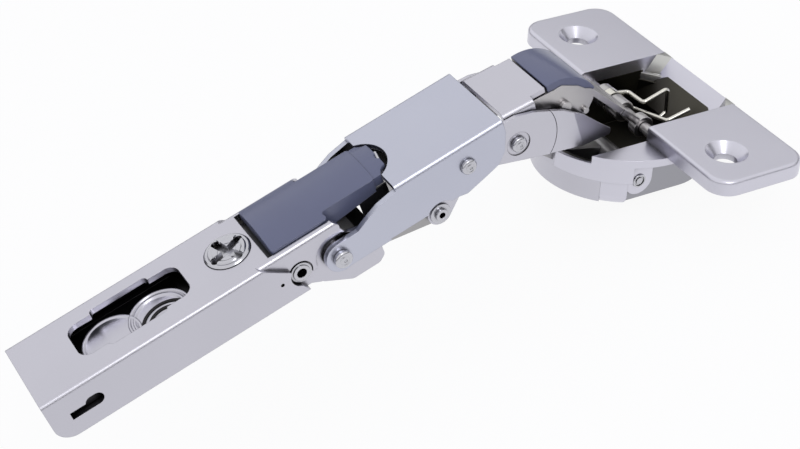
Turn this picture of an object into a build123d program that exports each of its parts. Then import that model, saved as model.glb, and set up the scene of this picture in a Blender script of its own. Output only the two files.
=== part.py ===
from build123d import *
import os
from math import cos, radians, sin

os.makedirs("parts", exist_ok=True)

# Concealed cup hinge, open to 110 degrees.
# Side outlines are drawn in (x, z): x runs from the arm's tail towards the cup, z is up and
# z = 0 is the arm's top face; y runs across the hinge. save() moves every piece to the frame
# whose origin is on the underside of the arm's top sheet. All sizes are in millimetres.

# pivots with the hinge open, (x, z)
ARM_RIVET_AT = (49.3, -5.8)
ARM_PIN_AT = (56.6, -6.6)
LINK_RIVET_AT = (76.3, -11.2)
LEVER_PIN_AT = (83.7, -4.0)
FRONT_PIN_AT = (94.4, -7.1)

# cup: where its flange face lies and how it is tilted; its own places are (u, n), u along
# the flange away from the arm, n out of the flange's top face
CUP_AT = (125.6, -20.8)
CUP_TILT = 20.4
CUP_REAR_PIN_AT = (-5.0, -3.3)
CUP_FRONT_PIN_AT = (-10.8, -8.9)

# arm
SHEET = 1.15
ARM_HALF = 8.87
ARM_HEIGHT = 9.63
ARM_FRONT_HALF = 8.07
PIVOT_FACE = 7.67
ARM_BEND = 1.0
SEAT_X = 5.0
SCREW_X = 40.6
SCREW_HEAD_R = 4.2
SCREW_COLLAR_R = 4.9
COUNTERBORE_DEPTH = 0.15
SCREW_THROW = 1.5

# inner carrier and damper
CARRIER_TOP = -3.5
CARRIER_SHEET = 1.0
CARRIER_RIM = 0.3
CARRIER_OUT = 7.5
DAMPER_START = 46.3
DAMPER_END = 68.2
DAMPER_AXIS_Z = 0.1
DAMPER_BORE = 1.3

# layers across the hinge, distances from the middle plane, from the middle outwards
COUPLER_LOW_Y = -3.6
COUPLER_HIGH_Y = -0.6
FRONT_IN = 5.15
FRONT_OUT = 6.25
INNER_IN = 5.6
INNER_OUT = 6.7
SHELL_IN = 6.3
SHELL_OUT = 7.3
EAR_IN = 6.7
EAR_OUT = 7.4
PLATE_IN = 7.5
PLATE_OUT = 8.2
LEVER_IN = 8.32
LEVER_OUT = 9.42

# outer lever
LEVER_TOP = 0.85
LEVER_REAR = 69.8
LEVER_FRONT = 92.3
LEVER_BOTTOM = -9.4

# link plates and front lever
PLATE_R = 8.0
PLATE_GAP = 0.1
SHELL_TILT = 4.5
FRONT_SHEET = 1.1

# pins
RIVET_R = 1.55
RIVET_BORE = 0.95
ARM_PIN_R = 1.2
LINK_RIVET_R = 1.15
LEVER_PIN_R = 1.5
FRONT_PIN_R = 1.0
REAR_PIN_R = 1.1
CUP_PIN_R = 1.2
RUNNING = 0.06
OPEN_PIVOT = 0.45
EYE_ROOM = 1.65

# cup
CUP_R = 17.5
CUP_CENTRE_U = -6.0
CUP_DEPTH = 13.8
CUP_WALL = 1.2
CUP_FLOOR = 0.9
FLANGE_FRONT = -7.72
FLANGE_BACK = 12.13
FLANGE_HALF = 32.95
FLANGE_SKIRT = 3.0
FLANGE_SHEET = 1.3
SHELF_TOP = -3.0
LOW_WALL_TOP = -4.6
COLLAR_END = -8.0
POCKET_HALF = 10.9
BODY_HALF = 12.5
SCREW_HOLE_V = 24.0
SCREW_HOLE_R = 2.1
COUNTERSINK_R = 3.9
SPRING_WIRE = 0.4


def save(name, *solids):
    """Move solids to the part's frame and write them as one node."""
    moved = [Pos(-SEAT_X, 0, SHEET) * solid for solid in solids]
    export_step(moved[0] if len(moved) == 1 else Compound(children=moved), f"parts/{name}.step")


def cup_place(solid):
    """Carry a solid drawn with x = u, y = v, z = n to the cup's place."""
    return Pos(CUP_AT[0], 0, CUP_AT[1]) * Rot(0, CUP_TILT, 0) * solid


def from_cup(point):
    """Turn a place (u, n) on the cup into (x, z)."""
    u, n = point
    turn = radians(CUP_TILT)
    return (
        CUP_AT[0] + u * cos(turn) + n * sin(turn),
        CUP_AT[1] - u * sin(turn) + n * cos(turn),
    )


def slab(outline, low_y, high_y):
    """Solid between two upright planes, from a side outline drawn in (x, z)."""
    return extrude(Plane.XZ.offset(-high_y) * outline, amount=high_y - low_y)


def plan(outline, low_z, high_z):
    """Solid between two level planes, from a plan outline drawn in (x, y)."""
    return extrude(Pos(0, 0, low_z) * outline, amount=high_z - low_z)


def disc(point, radius):
    return Pos(*point) * Circle(radius)


def rod(point, radius, low_y, high_y):
    """Round bar across the hinge."""
    return slab(disc(point, radius), low_y, high_y)


def polygon(*points):
    return make_face(Polyline(*points, close=True))


def rounded(radius, *points):
    return make_face(FilletPolyline(*points, radius=radius, close=True))


def hull(*rounds):
    """Outline round a chain of circles, each given as (point, radius)."""
    edges = [edge for point, radius in rounds for edge in disc(point, radius).edges()]
    return make_hull(edges)


def channel(half_width, depth, sheet, bend, start_x, end_x, top=0.0):
    """Folded sheet along x: a top and two side walls, open underneath."""
    outer = Pos(0, top - depth / 2) * Rectangle(2 * half_width, depth)
    outer = fillet(outer.vertices().group_by(Axis.Y)[-1], bend)
    inner = Pos(0, top - sheet - depth / 2) * Rectangle(2 * (half_width - sheet), depth)
    inner = fillet(inner.vertices().group_by(Axis.Y)[-1], max(bend - sheet, 0.2))
    return extrude(Plane.YZ.offset(start_x) * (outer - inner), amount=end_x - start_x)


def tail_outline():
    """Side of the arm's wide part, as far as the step in its walls."""
    outline = polygon(
        (0, 0), (42.5, 0), (47.5, -4), (48.5, -8), (49.5, -ARM_HEIGHT), (0, -ARM_HEIGHT)
    )
    corner = outline.vertices().sort_by_distance((0, -ARM_HEIGHT, 0))[0]
    return fillet(corner, 3.5)


def nose_outline():
    """Side of the arm's narrow part, which carries the two fixed pivots."""
    nose = rounded(
        1.2, (55.5, -1.6), (58.6, -1.6), (59.3, -3.8), (62, -4.5), (64.4, -7.5),
        (64.4, -13), (63, -14.1), (57.5, -14.1), (52.6, -11), (50.3, -9), (52, -4),
    )
    strip = polygon(
        (41.3, 0), (57.6, 0), (58.6, -1), (58.6, -4), (52, -10.6), (50.3, -ARM_HEIGHT),
        (48.6, -ARM_HEIGHT), (47.5, -8), (46.4, -4),
    )
    return nose + strip


def top_window():
    """Plan of the window in the arm's top, wider in its middle."""
    long_slot = Pos(21.1, 0.35) * RectangleRounded(21.8, 8.7, 2.2)
    wide_slot = Pos(21, 0.45) * RectangleRounded(11.4, 10.5, 0.9)
    return long_slot + wide_slot


def wall_slot():
    """Side outline of the keyhole near the arm's tail."""
    narrow = Pos(6.2, -5.4) * Rectangle(5, 1.6)
    wide = Pos(8.4, -4.95) * SlotCenterToCenter(0.9, 2.5)
    return narrow + wide


def hinge_arm():
    tail = slab(tail_outline(), -ARM_HALF, ARM_HALF)
    tail &= channel(ARM_HALF, ARM_HEIGHT, SHEET, ARM_BEND, 0, 50)
    nose = slab(nose_outline(), -ARM_HALF, ARM_HALF)
    nose &= channel(ARM_FRONT_HALF, 15, SHEET, ARM_BEND, 40, 66)
    arm = tail + nose
    inner = ARM_FRONT_HALF - SHEET
    arm -= plan(Pos(55.3, 0) * Rectangle(20, 2 * inner), -3, 1)
    arm -= plan(top_window(), -2, 1)
    arm -= plan(Pos(SCREW_X, 0) * Circle(SCREW_HEAD_R + 0.12), -2, 1)
    # the screw's collar turns in a shallow counterbore, clear of the seat face
    arm -= plan(Pos(SCREW_X, 0) * Circle(SCREW_COLLAR_R + 0.3), -2, COUNTERBORE_DEPTH - SHEET)
    arm -= slab(wall_slot(), -ARM_HALF, ARM_HALF)
    # the walls are set back round the pivots, so that the lever's ears lie close
    low = polygon((46, -7), (66, -7), (66, -16), (46, -16))
    recess = (disc(ARM_PIN_AT, 4.3) + low - tail_outline()) + disc(ARM_RIVET_AT, 2.3)
    for side in (slab(recess, PIVOT_FACE, ARM_HALF), slab(recess, -ARM_HALF, -PIVOT_FACE)):
        arm -= side
    arm -= rod(ARM_RIVET_AT, RIVET_R, -ARM_HALF, ARM_HALF)
    arm -= rod(ARM_PIN_AT, ARM_PIN_R, -ARM_HALF, ARM_HALF)
    arm -= rod((45.3, -5.4), 0.35, -ARM_HALF, ARM_HALF)
    return arm


def catch_carrier():
    """Inner carrier that clips to the mounting plate; the screw's cam shifts the arm on it."""
    big_lobe = Pos(16.2, -3.2) * Circle(5.3)
    small_lobe = Pos(26.0, -3.4) * Circle(5.0)
    near_edge = Pos(26, -5.5) * Rectangle(32, 4)
    front = Pos(36.8, 0) * Rectangle(12.4, 2 * CARRIER_OUT)
    cam_slot = Pos(SCREW_X, 0.75) * Rectangle(3.3, 4.4)
    sheet = big_lobe + small_lobe + near_edge + front - cam_slot
    sheet &= Pos(26, 0) * Rectangle(60, 2 * CARRIER_OUT)
    carrier = plan(sheet, CARRIER_TOP - CARRIER_SHEET, CARRIER_TOP)
    for radius in (4.9, 3.6):
        rim = Pos(26.0, -3.4) * (Circle(radius) - Circle(radius - 0.6))
        rim &= Pos(26, 0) * Rectangle(60, 2 * CARRIER_OUT)
        carrier += plan(rim, CARRIER_TOP, CARRIER_TOP + CARRIER_RIM)
    wall = rounded(0.8, (9, 0), (43, 0), (43, -7), (40, -8.8), (13, -8.8), (9, -6))
    wall -= Pos(26, CARRIER_TOP + 5) * Rectangle(60, 10)
    hook = disc((17, -7.3), 1.3) + Pos(17, -8.8) * Rectangle(2.6, 3)
    wall -= hook
    inner = CARRIER_OUT - CARRIER_SHEET
    far_wall = slab(wall, inner, CARRIER_OUT)
    near_wall = slab(wall, -CARRIER_OUT, -inner)
    return carrier + far_wall + near_wall


def cam_screw():
    """Depth screw: a flat head with a cross slot, a collar and an eccentric cam pin."""
    head = plan(Pos(SCREW_X, 0) * Circle(SCREW_HEAD_R), -2.0, 0.35)
    head = chamfer(head.edges().group_by(Axis.Z)[-1], 0.25)
    for angle in (20, 110):
        slot = Pos(SCREW_X, 0) * Rot(0, 0, angle) * SlotOverall(7.4, 1.5)
        head -= plan(slot, -0.75, 1)
    collar = plan(Pos(SCREW_X, 0) * Circle(SCREW_COLLAR_R), -2.0, COUNTERBORE_DEPTH - SHEET)
    shank = plan(Pos(SCREW_X, 0) * Circle(2.6), -3.2, -2.0)
    cam = plan(Pos(SCREW_X, SCREW_THROW) * Circle(1.2), -5.4, -3.2)
    return head + collar + shank + cam


def hollow_rivet(point, radius, bore, half_length, head_r, head_low, head_high):
    """Tube rivet with a flared ring at each end."""
    rivet = rod(point, radius, -half_length, half_length)
    rivet += rod(point, head_r, head_low, head_high)
    rivet += rod(point, head_r, -head_high, -head_low)
    return rivet - rod(point, bore, -half_length, half_length)


def arm_rivet():
    return hollow_rivet(
        ARM_RIVET_AT, RIVET_R, RIVET_BORE, PIVOT_FACE + 0.7, 2.0, PIVOT_FACE, PIVOT_FACE + 0.5
    )


def arm_pins():
    """Short headed pins, one a side, that carry the outer lever's ears on the arm."""
    pins = []
    for side in (-1, 1):
        low, high = sorted((side * (ARM_FRONT_HALF - SHEET), side * (LEVER_OUT + 0.8)))
        shank = rod(ARM_PIN_AT, ARM_PIN_R, low, high)
        low, high = sorted((side * (LEVER_OUT + 0.06), side * (LEVER_OUT + 0.8)))
        pins.append(shank + rod(ARM_PIN_AT, 1.65, low, high))
    return pins


def pivot_washers():
    """Two washers that fill the room between the arm's walls and the lever's ears."""
    ring = disc(ARM_PIN_AT, 2.6) - disc(ARM_PIN_AT, ARM_PIN_R)
    return slab(ring, PIVOT_FACE, LEVER_IN - 0.05), slab(ring, -LEVER_IN + 0.05, -PIVOT_FACE)


def damper_section():
    """Arched cross-section of the damper housing, drawn in (y, z)."""
    top = ThreePointArc((-6.8, 0.5), (0, 1.8), (6.8, 0.5))
    rest = Polyline((6.8, 0.5), (6.8, -4), (-6.8, -4), (-6.8, 0.5))
    return make_face(top + rest)


def damper_housing():
    """Moulded housing between the arm's walls; its front is narrower than its back."""
    core = polygon(
        (DAMPER_START, -3), (58, -3), (DAMPER_END, -1.6), (DAMPER_END, 2), (DAMPER_START, 2)
    )
    lips = polygon((DAMPER_START, -2), (58.5, 0.6), (58.5, 2), (DAMPER_START, 2))
    footprint = rounded(
        0.5, (DAMPER_START, -6.8), (58.2, -6.8), (56.6, -5.2), (DAMPER_END, -5.2),
        (DAMPER_END, 5.2), (56.6, 5.2), (58.2, 6.8), (DAMPER_START, 6.8),
    )
    body = slab(core, -5.2, 5.2) + slab(lips, -6.8, 6.8)
    body &= plan(footprint, -4, 3)
    body &= extrude(Plane.YZ.offset(DAMPER_START) * damper_section(), amount=DAMPER_END)
    bore = Plane.YZ.offset(49) * Pos(0, DAMPER_AXIS_Z) * Circle(DAMPER_BORE)
    return body - extrude(bore, amount=DAMPER_END)


def bar_x(radius, start_x, end_x):
    """Round bar along the damper's axis."""
    circle = Plane.YZ.offset(start_x) * Pos(0, DAMPER_AXIS_Z) * Circle(radius)
    return extrude(circle, amount=end_x - start_x)


def damper_cylinder():
    return bar_x(DAMPER_BORE, 49, 66) - bar_x(0.85, 50, 67)


def damper_plunger():
    return bar_x(0.75, 56, 69) + bar_x(1.15, 68.6, 70.6)


def outer_lever_outline():
    """Side wall of the outer lever: an ear on the arm pin, an arch over the link rivet."""
    wall = polygon(
        (LEVER_REAR, LEVER_TOP), (LEVER_REAR, -0.3), (66, -1.1), (63.6, -2.2), (61, -3.6),
        (56.6, -3.65), (56.6, LEVER_BOTTOM), (66, LEVER_BOTTOM), (66, -9.1), (80, -9.1),
        (82, -9.6), (86, -8.6), (89.2, -7.7), (91, -5.8), (LEVER_FRONT, -2),
        (LEVER_FRONT, LEVER_TOP),
    )
    arch = disc(LINK_RIVET_AT, 3.3)
    front = disc(FRONT_PIN_AT, 3.6)
    return wall + disc(ARM_PIN_AT, 2.95) - arch - front


def outer_lever():
    """Long folded lever from the arm pin to the lever pin."""
    lever = channel(LEVER_OUT, 14, LEVER_OUT - LEVER_IN, 1.1, 50, LEVER_FRONT, LEVER_TOP)
    lever &= slab(outer_lever_outline(), -LEVER_OUT, LEVER_OUT)
    lever -= plan(Pos(67.5, 0.3) * Circle(5.7), -2, 2)
    lever -= rod(ARM_PIN_AT, ARM_PIN_R + RUNNING, -LEVER_OUT, LEVER_OUT)
    return lever - rod(LEVER_PIN_AT, LEVER_PIN_R, -LEVER_OUT, LEVER_OUT)


def inner_lever():
    """Folded lever from the arm rivet to the link rivet, with a web between its cheeks."""
    cheek = hull((ARM_RIVET_AT, 2.6), (LINK_RIVET_AT, 2.8))
    lever = slab(cheek, INNER_IN, INNER_OUT) + slab(cheek, -INNER_OUT, -INNER_IN)
    slope = -11.3
    web = Pos(*ARM_RIVET_AT) * Rot(0, 0, slope) * Pos(11.7, -2.35) * Rectangle(5.4, 0.8)
    lever += slab(web & cheek, -INNER_OUT, INNER_OUT)
    lever -= rod(ARM_RIVET_AT, RIVET_R + RUNNING, -INNER_OUT, INNER_OUT)
    return lever - rod(LINK_RIVET_AT, LINK_RIVET_R + OPEN_PIVOT, -INNER_OUT, INNER_OUT)


def plate_outline():
    """Three-hole link plate, with a round front that the side plate turns about."""
    front = polygon(
        (83.7, -1.7), (91.4, -1.9), (92.9, -1.1), (95.4, -1.3), (98.9, -2.6), (103.5, -5.4),
        (103.5, -16), (99.6, -13.3), (94.5, -11.1), (89.6, -8.9), (83.7, -8.2),
    )
    reach = disc(FRONT_PIN_AT, PLATE_R) + Pos(84.4, -6) * Rectangle(20, 20)
    tail = hull((LINK_RIVET_AT, 2.4), (LEVER_PIN_AT, 2.4))
    return (front & reach) + tail


def link_plate(side):
    low, high = sorted((side * PLATE_IN, side * PLATE_OUT))
    plate = slab(plate_outline(), low, high)
    low, high = sorted((side * (PLATE_OUT - 0.2), side * (PLATE_OUT + 1)))
    plate -= rod(FRONT_PIN_AT, 2.4, low, high)
    plate -= rod(LINK_RIVET_AT, LINK_RIVET_R, -LEVER_OUT, LEVER_OUT)
    plate -= rod(LEVER_PIN_AT, LEVER_PIN_R + RUNNING, -LEVER_OUT, LEVER_OUT)
    return plate - rod(FRONT_PIN_AT, FRONT_PIN_R + RUNNING, -LEVER_OUT, LEVER_OUT)


def link_rivet():
    return hollow_rivet(
        LINK_RIVET_AT, LINK_RIVET_R, 0.6, PLATE_OUT + 0.9, 2.0, PLATE_OUT, PLATE_OUT + 0.35
    )


def lever_pin():
    """Through pin of the outer lever, with a domed head outside each wall."""
    pin = rod(LEVER_PIN_AT, LEVER_PIN_R, -LEVER_OUT - 0.5, LEVER_OUT + 0.5)
    return chamfer(pin.edges().filter_by(GeomType.CIRCLE), 0.2)


def front_pins():
    """Short pins, one a side, that join each link plate to the front lever's ears."""
    pins = []
    for side in (-1, 1):
        low, high = sorted((side * (FRONT_IN - 0.3), side * (PLATE_OUT + 0.3)))
        pin = rod(FRONT_PIN_AT, FRONT_PIN_R, low, high)
        low, high = sorted((side * (PLATE_OUT - 0.15), side * (PLATE_OUT + 0.3)))
        pins.append(pin + rod(FRONT_PIN_AT, 1.5, low, high))
    return pins


def front_shell():
    """Short folded cover over the joint between the outer lever and the front lever."""
    shell = channel(SHELL_OUT, 3.4, SHELL_OUT - SHELL_IN, 1.3, 0, 9.6)
    shell -= plan(Pos(10, 7.4) * Rectangle(7, 3), -5, 1)
    shell -= plan(Pos(10, -7.4) * Rectangle(7, 3), -5, 1)
    return Pos(93.5, 0, -0.35) * Rot(0, SHELL_TILT, 0) * shell


def side_plate(side):
    """Outside plate of the front lever, dished over the link plate, its tail bent inwards."""
    bend_x = 106.2
    blade = rounded(
        0.6, (98.6, -2.4), (101.8, -4.3), (104.5, -6.1), (108, -9.5), (111, -14.1),
        (113.2, -17.2), (113.2, -18.6), (106, -15.8), (99.6, -13.2), (94, -12),
    )
    blade -= disc(FRONT_PIN_AT, PLATE_R + PLATE_GAP)
    split = Pos(bend_x + 10, -10) * Rectangle(20, 30)
    low, high = sorted((side * PLATE_IN, side * PLATE_OUT))
    flat = slab(blade - split, low, high)
    tail = slab(blade & split, low, high)
    hinge_line = Axis((bend_x, side * PLATE_OUT, 0), (0, 0, 1))
    tail = tail.rotate(hinge_line, -side * 13)
    ear = hull((FRONT_PIN_AT, 3.1), ((101.6, -9.4), 3.8)) & disc(FRONT_PIN_AT, PLATE_R + 1)
    low, high = sorted((side * EAR_IN, side * PLATE_IN))
    step = slab(ear - disc(FRONT_PIN_AT, PLATE_R + PLATE_GAP), low, high)
    low, high = sorted((side * EAR_IN, side * EAR_OUT))
    plate = flat + tail + slab(ear, low, high) + step
    return plate - rod(FRONT_PIN_AT, FRONT_PIN_R, -LEVER_OUT, LEVER_OUT)


def neck_outline():
    """Side view of the front lever's curved web, down to its knuckles."""
    path = FilletPolyline(
        (97, -2.4), (104.6, -3.0), (111.3, -7.2), (117.2, -17.2), (121.4, -20.1), radius=3
    )
    return trace(path, FRONT_SHEET) - disc(from_cup(CUP_REAR_PIN_AT), 2.5)


def cheek_outline():
    """Side wall of the front lever, with an ear round the front pin."""
    cheek = rounded(
        0.8, (94.4, -4.05), (100.4, -2.5), (106.3, -2.5), (109.3, -4.6), (111.6, -7.4),
        (111.6, -9), (109.4, -11.4), (104, -12.3), (94.4, -10.15),
    )
    return cheek + disc(FRONT_PIN_AT, 3.05)


def front_lever():
    """Goose-neck lever: cheeks on the front pins, a curved web and knuckles on the rear pin."""
    knuckle_at = from_cup(CUP_REAR_PIN_AT)
    cheek = cheek_outline()
    lever = slab(cheek, FRONT_IN, FRONT_OUT) + slab(cheek, -FRONT_OUT, -FRONT_IN)
    lever += slab(neck_outline(), -FRONT_OUT, FRONT_OUT)
    knuckle = disc(knuckle_at, 2.6)
    lever += slab(knuckle, -FRONT_OUT, -4.1) + slab(knuckle, -0.1, 3.4)
    lever -= slab(Pos(*knuckle_at) * Circle(3.4), -4.1, -0.1)
    lever -= slab(Pos(*knuckle_at) * Circle(3.4), 3.4, FRONT_OUT)
    lever -= rod(knuckle_at, REAR_PIN_R + RUNNING, -FRONT_OUT, FRONT_OUT)
    return lever - rod(FRONT_PIN_AT, FRONT_PIN_R, -FRONT_OUT, FRONT_OUT)


def front_cap():
    """Moulded cap that covers the goose-neck in front of the shell."""
    outline = polygon(
        (103.4, -2.25), (103.4, -1.0), (106.8, -1.35), (110.2, -3.8), (112.6, -7.2),
        (111.9, -7.3), (108.4, -4.7), (104.8, -2.3),
    )
    return slab(outline - neck_outline() - cheek_outline(), -6.0, 6.0)


def lever_rivets():
    """Rivets in the front lever's cheeks, two a side."""
    rivets = []
    for point, radius, head in (((105.6, -6.8), 1.1, 0.9), ((109.2, -10.2), 0.6, 0.7)):
        for side in (-1, 1):
            low, high = sorted((side * FRONT_OUT, side * (FRONT_OUT + head)))
            rivets.append(rod(point, radius, low, high))
    return rivets


def inner_cup_link():
    """Hooked link from the link rivet to the cup's front pin, with a tube on that pin."""
    pin_at = from_cup(CUP_FRONT_PIN_AT)
    eye_at = (LINK_RIVET_AT[0] + 0.6, LINK_RIVET_AT[1] + 0.38)
    middle = FilletPolyline(
        eye_at, (83, -10.1), (90, -10.2), (96.5, -12.6), (101.2, -16.2), (104.4, -20.6),
        pin_at, radius=4,
    )
    strip = trace(middle, 3.0) + disc(eye_at, LINK_RIVET_R + EYE_ROOM + 1.2)
    link = slab(strip, COUPLER_LOW_Y, COUPLER_HIGH_Y)
    link += rod(pin_at, 2.2, -7, 7)
    link -= rod(eye_at, LINK_RIVET_R + EYE_ROOM, COUPLER_LOW_Y, COUPLER_HIGH_Y)
    return link - rod(pin_at, CUP_PIN_R + RUNNING, -7, 7)


def cup_flange():
    """Pressed flange with a skirt round its edge and a countersunk hole at each end."""
    middle_u = (FLANGE_FRONT + FLANGE_BACK) / 2
    width = FLANGE_BACK - FLANGE_FRONT
    face = Pos(middle_u, 0) * RectangleRounded(width, 2 * FLANGE_HALF, 4.2)
    flange = plan(face, -FLANGE_SKIRT, 0)
    flange = fillet(flange.edges().group_by(Axis.Z)[-1], 0.7)
    inside = Pos(middle_u, 0) * RectangleRounded(
        width - 2 * FLANGE_SHEET, 2 * (FLANGE_HALF - FLANGE_SHEET), 3
    )
    inside -= Pos(middle_u, 0) * Rectangle(width, 2 * BODY_HALF)
    flange -= plan(inside, -FLANGE_SKIRT, -FLANGE_SHEET)
    for side in (-1, 1):
        centre = Pos(0.2, side * SCREW_HOLE_V)
        flange += plan(centre * Circle(COUNTERSINK_R + 0.9), -2.9, -FLANGE_SHEET)
        flange -= plan(centre * Circle(SCREW_HOLE_R), -FLANGE_SKIRT, 1)
        cone_depth = COUNTERSINK_R - SCREW_HOLE_R
        sink = Pos(0.2, side * SCREW_HOLE_V, -cone_depth / 2) * Cone(
            SCREW_HOLE_R, COUNTERSINK_R, cone_depth
        )
        flange -= sink
    return flange


def cup_room():
    """Room for the levers, down through the flange and the cup: open in front, its back sloped."""
    side_view = polygon(
        (-30, 2), (13, 2), (FLANGE_BACK - 0.4, 0), (5.5, -8), (5.5, CUP_FLOOR - CUP_DEPTH),
        (-30, CUP_FLOOR - CUP_DEPTH),
    )
    return slab(side_view, -POCKET_HALF, POCKET_HALF)


def cup_shelf(room):
    """Round rim of the cup: level with the skirt's edge in front, filled up under the flange."""
    rim = Pos(CUP_CENTRE_U, 0) * Circle(CUP_R)
    under_flange = Pos(FLANGE_FRONT + 0.5 + 10, 0) * Rectangle(20, 40)
    low = plan(rim, LOW_WALL_TOP, SHELF_TOP) - room
    return low + (plan(rim & under_flange, LOW_WALL_TOP, -0.5) - room)


def cup_bowl(room):
    """Bowl below the rim, with flat sides behind its round front."""
    centre = Pos(CUP_CENTRE_U, 0)
    footprint = Pos(-19, 0) * Rectangle(11, 40) + Pos(-6, 0) * Rectangle(40, 2 * BODY_HALF)
    collar = plan(centre * Circle(CUP_R) & footprint, COLLAR_END, LOW_WALL_TOP)
    lower = plan(centre * Circle(CUP_R - 1.2), -CUP_DEPTH, COLLAR_END)
    lower = fillet(lower.edges().group_by(Axis.Z)[0], 2.4)
    lower &= plan(footprint, -CUP_DEPTH, COLLAR_END)
    hollow = room & plan(centre * Circle(CUP_R - CUP_WALL), -CUP_DEPTH, LOW_WALL_TOP + 1)
    return collar + lower - hollow


def hinge_cup():
    """Cup and flange in one piece, with lugs for the front pin under its side shelves."""
    room = cup_room()
    cup = cup_bowl(room) + cup_shelf(room)
    lug = hull((CUP_FRONT_PIN_AT, 2.9), ((CUP_FRONT_PIN_AT[0], -3.9), 2.9))
    lug &= Pos(-10, -8.3) * Rectangle(20, 10)
    cup += slab(lug, BODY_HALF - 0.5, 14)
    cup += slab(lug, -14, 0.5 - BODY_HALF)
    cup = (cup_flange() - room) + cup
    notch = Pos(-21, -6) * Rectangle(8, 6)
    cup -= slab(notch, COUPLER_LOW_Y - 0.5, COUPLER_HIGH_Y + 0.5)
    cup -= slab(disc(CUP_REAR_PIN_AT, REAR_PIN_R), -12.2, 12.2)
    return cup_place(cup - slab(disc(CUP_FRONT_PIN_AT, CUP_PIN_R), -14, 14))


def rear_cup_pin():
    """Pin under the flange that the front lever's knuckles turn on, with a bush."""
    pin = slab(disc(CUP_REAR_PIN_AT, REAR_PIN_R), -12.2, 12.2)
    return cup_place(pin + slab(disc(CUP_REAR_PIN_AT, 2.2), 5.5, 7.4))


def front_cup_pin():
    return cup_place(slab(disc(CUP_FRONT_PIN_AT, CUP_PIN_R), -14.1, 14.1))


def closing_spring():
    """Torsion spring on the rear pin: two coils, a looped leg and a straight leg."""
    u, n = CUP_REAR_PIN_AT
    coils = []
    for low_y in (3.5, 4.4):
        ring = disc(CUP_REAR_PIN_AT, 2.3) - disc(CUP_REAR_PIN_AT, 1.5)
        coils.append(slab(ring, low_y, low_y + 0.95))
    loop = FilletPolyline(
        (u, 4.0, n + 1.9), (-1.6, 4.0, -1.9), (-1.0, -0.3, -2.2), (4.45, -0.3, -0.4),
        (4.75, -0.3, -5.6), (3.0, -0.3, -6.8), radius=0.7,
    )
    leg = FilletPolyline(
        (u, 4.9, n - 1.9), (-1.6, 4.9, n - 1.9), (-0.6, -7.4, -2.4), (4.0, -7.8, -0.9),
        radius=0.7,
    )
    spring = coils[0] + coils[1]
    for wire in (loop, leg):
        spring += sweep(Plane(wire @ 0, z_dir=wire % 0) * Circle(SPRING_WIRE), path=wire)
    return cup_place(spring)


save("hinge_arm", hinge_arm())
save("catch_carrier", catch_carrier())
save("cam_screw", cam_screw())
save("arm_rivet", arm_rivet())
save("arm_pins", *arm_pins())
save("pivot_washers", *pivot_washers())
save("damper_housing", damper_housing())
save("damper_cylinder", damper_cylinder())
save("damper_plunger", damper_plunger())
save("outer_lever", outer_lever())
save("inner_lever", inner_lever())
save("link_plate_near", link_plate(-1))
save("link_plate_far", link_plate(1))
save("link_rivet", link_rivet())
save("lever_pin", lever_pin())
save("front_pins", *front_pins())
save("front_lever", front_lever())
save("front_shell", front_shell())
save("side_plate_near", side_plate(-1))
save("side_plate_far", side_plate(1))
save("front_cap", front_cap())
save("lever_rivets", *lever_rivets())
save("inner_cup_link", inner_cup_link())
save("hinge_cup", hinge_cup())
save("rear_cup_pin", rear_cup_pin())
save("front_cup_pin", front_cup_pin())
save("closing_spring", closing_spring())
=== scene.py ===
"""Looks of a concealed cup hinge: finishes, fine fittings, studio and camera."""

import logging
import math
from collections.abc import Iterator
from contextlib import contextmanager
from dataclasses import dataclass
from enum import Enum

import bpy
from mathutils import Matrix, Vector

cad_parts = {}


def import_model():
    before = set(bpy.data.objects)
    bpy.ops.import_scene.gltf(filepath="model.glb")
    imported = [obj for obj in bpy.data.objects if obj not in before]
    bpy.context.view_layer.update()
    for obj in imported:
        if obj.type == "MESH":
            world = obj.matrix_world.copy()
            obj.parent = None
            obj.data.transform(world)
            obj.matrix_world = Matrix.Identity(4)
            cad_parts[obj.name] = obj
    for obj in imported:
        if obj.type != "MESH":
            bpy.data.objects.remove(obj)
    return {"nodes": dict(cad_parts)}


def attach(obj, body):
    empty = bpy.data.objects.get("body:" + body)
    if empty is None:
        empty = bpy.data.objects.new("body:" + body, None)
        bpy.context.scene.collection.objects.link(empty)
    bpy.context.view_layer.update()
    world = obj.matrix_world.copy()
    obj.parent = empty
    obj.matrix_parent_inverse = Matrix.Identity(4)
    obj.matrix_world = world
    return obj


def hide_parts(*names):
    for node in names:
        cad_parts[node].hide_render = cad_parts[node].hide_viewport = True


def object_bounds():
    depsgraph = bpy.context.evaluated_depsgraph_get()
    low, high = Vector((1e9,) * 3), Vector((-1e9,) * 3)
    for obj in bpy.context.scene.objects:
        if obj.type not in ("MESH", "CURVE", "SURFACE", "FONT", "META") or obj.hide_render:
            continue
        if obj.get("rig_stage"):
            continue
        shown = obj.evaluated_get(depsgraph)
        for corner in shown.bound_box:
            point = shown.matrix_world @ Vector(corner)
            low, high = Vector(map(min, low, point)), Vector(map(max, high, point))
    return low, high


Piece = bpy.types.Object
Tree = bpy.types.NodeTree
Socket = bpy.types.NodeSocket
Material = bpy.types.Material
Steps = tuple[tuple[float, float], ...]

LOG = logging.getLogger("hinge")
MM = 0.001

# side views are drawn with x from the arm's tail and z from the arm's top face, in mm
TAIL_X = -5.0
TOP_Z = 1.15
ARM_PIN = (56.6, -6.6)
LEVER_PIN = (83.7, -4.0)
FRONT_PIN = (94.4, -7.1)
SCREW_X = 40.6
KNUCKLE = (119.76, -22.15)
CUP_AT = (125.6, -20.8)
CUP_TILT = math.radians(20.4)

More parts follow.
